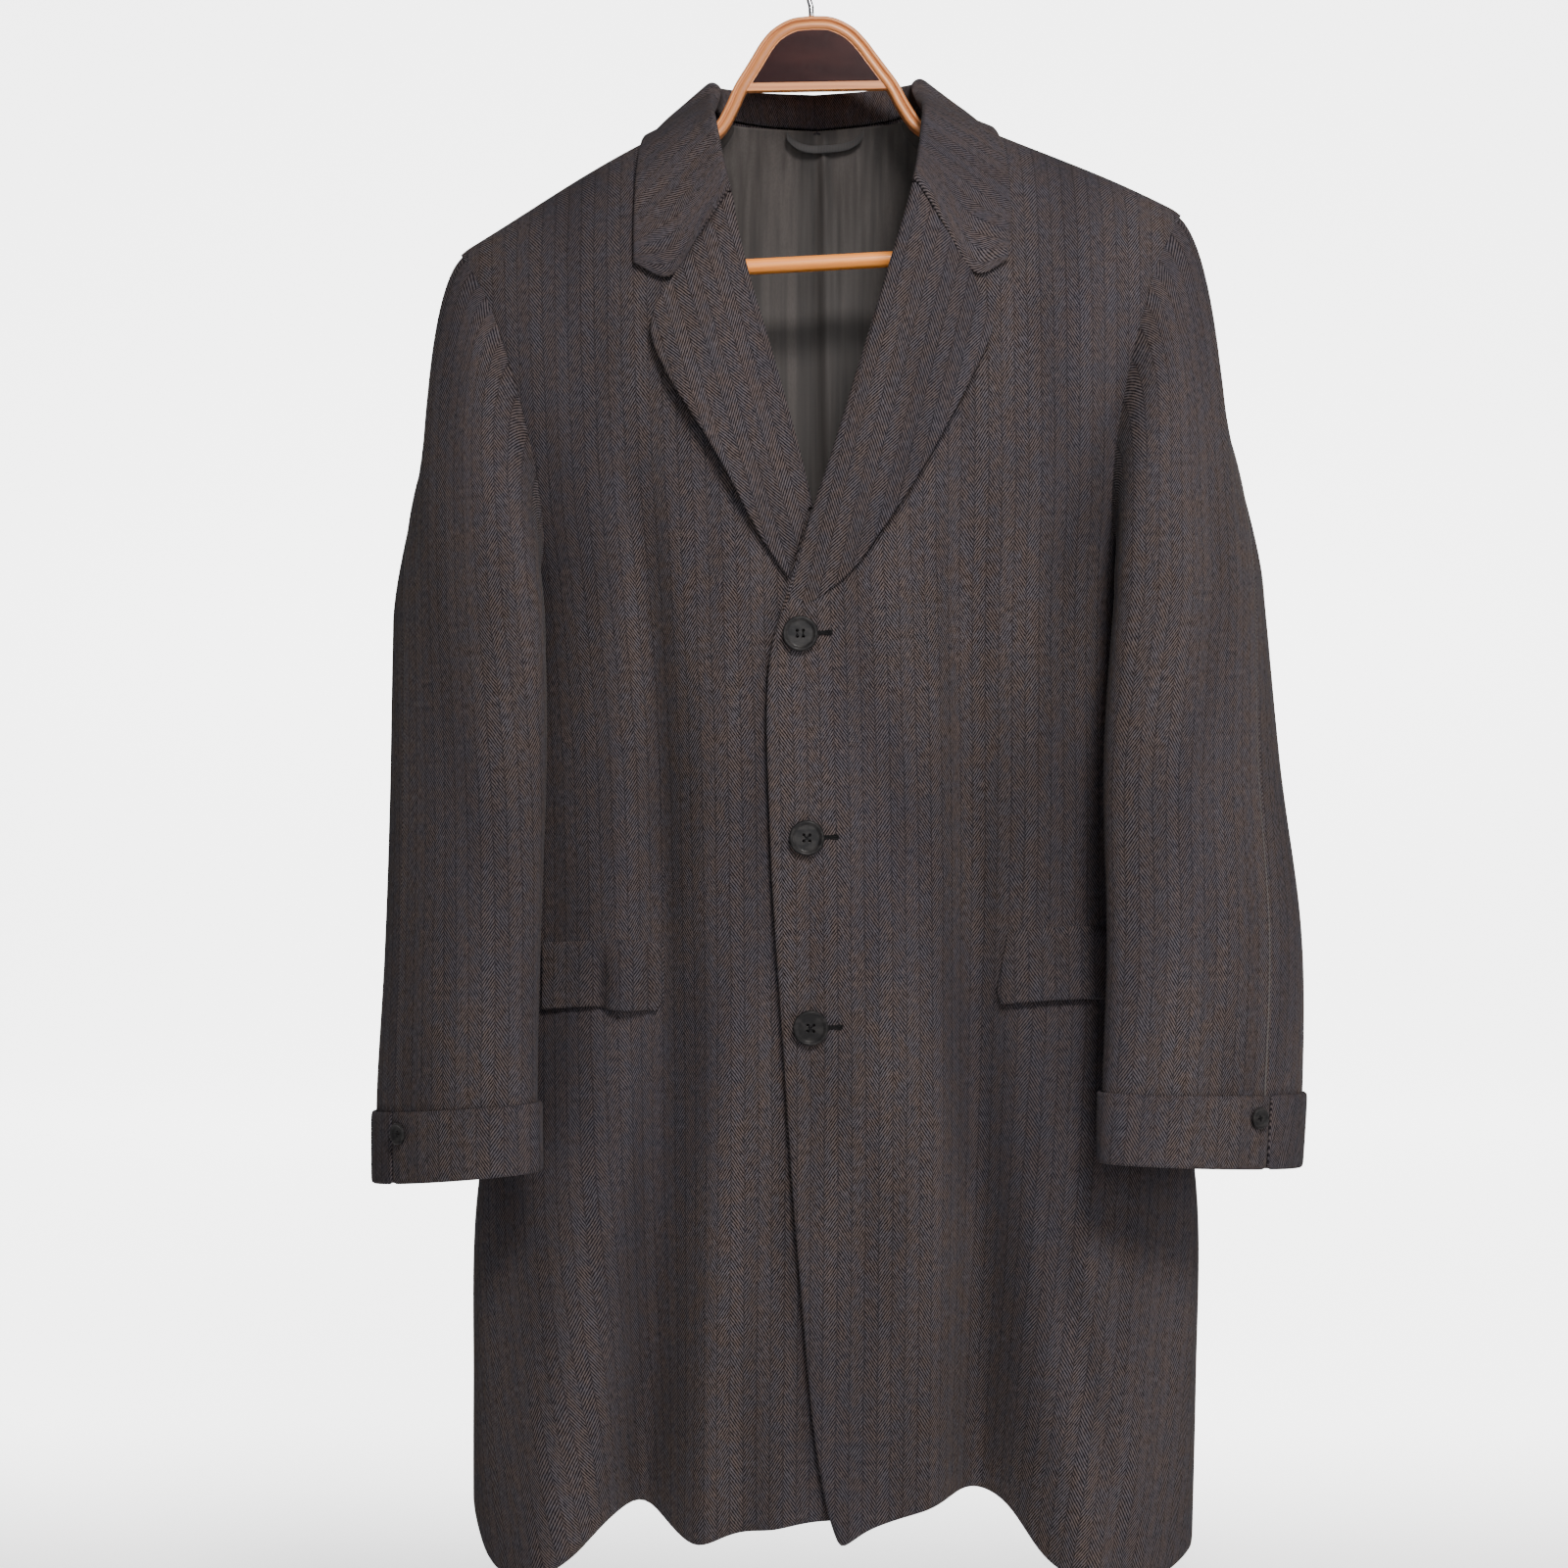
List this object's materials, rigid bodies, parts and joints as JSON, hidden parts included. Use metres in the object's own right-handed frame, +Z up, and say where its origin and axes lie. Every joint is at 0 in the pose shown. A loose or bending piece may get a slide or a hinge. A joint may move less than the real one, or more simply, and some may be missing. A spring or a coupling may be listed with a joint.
{
  "type": "wool overcoat on a wooden hanger",
  "caption": "Knee-length single-breasted herringbone wool overcoat with notched lapels, flap pockets and turned-back cuffs, hanging open-necked on a bent wooden hanger.",
  "frame": {"origin": "where a rail bears inside the top of the hanger's hook", "axes": "+Z up, -Y the coat's front, +X the wearer's left"},
  "size_m": [0.6636, 0.247, 1.1883],
  "materials": {
    "wool": "charcoal herringbone, soft nap",
    "lining": "dark grey satin lining with faint stripes",
    "loop": "dark tape",
    "button": "dark horn-like, satin",
    "wood": "varnished beech",
    "panel": "dark brown gloss",
    "steel": "polished"
  },
  "bodies": {
    "root": {"front_left": "wool", "front_right": "wool", "back_left": "wool", "back_right": "wool", "sleeve_top_left": "wool", "sleeve_under_left": "wool", "sleeve_top_right": "wool", "sleeve_under_right": "wool", "cuff_left": "wool", "cuff_right": "wool", "lapel_left": "wool", "lapel_right": "wool", "collar": "wool", "flap_left": "wool", "flap_right": "wool", "lining_back": "lining", "hanging_loop": "loop", "button_top": "button", "button_middle": "button", "button_bottom": "button", "cuff_button_left": "button", "cuff_button_right": "button", "hanger_frame": "wood", "hanger_bar": "wood", "hanger_panel": "panel", "hanger_hook": "steel"}
  },
  "joints": []
}
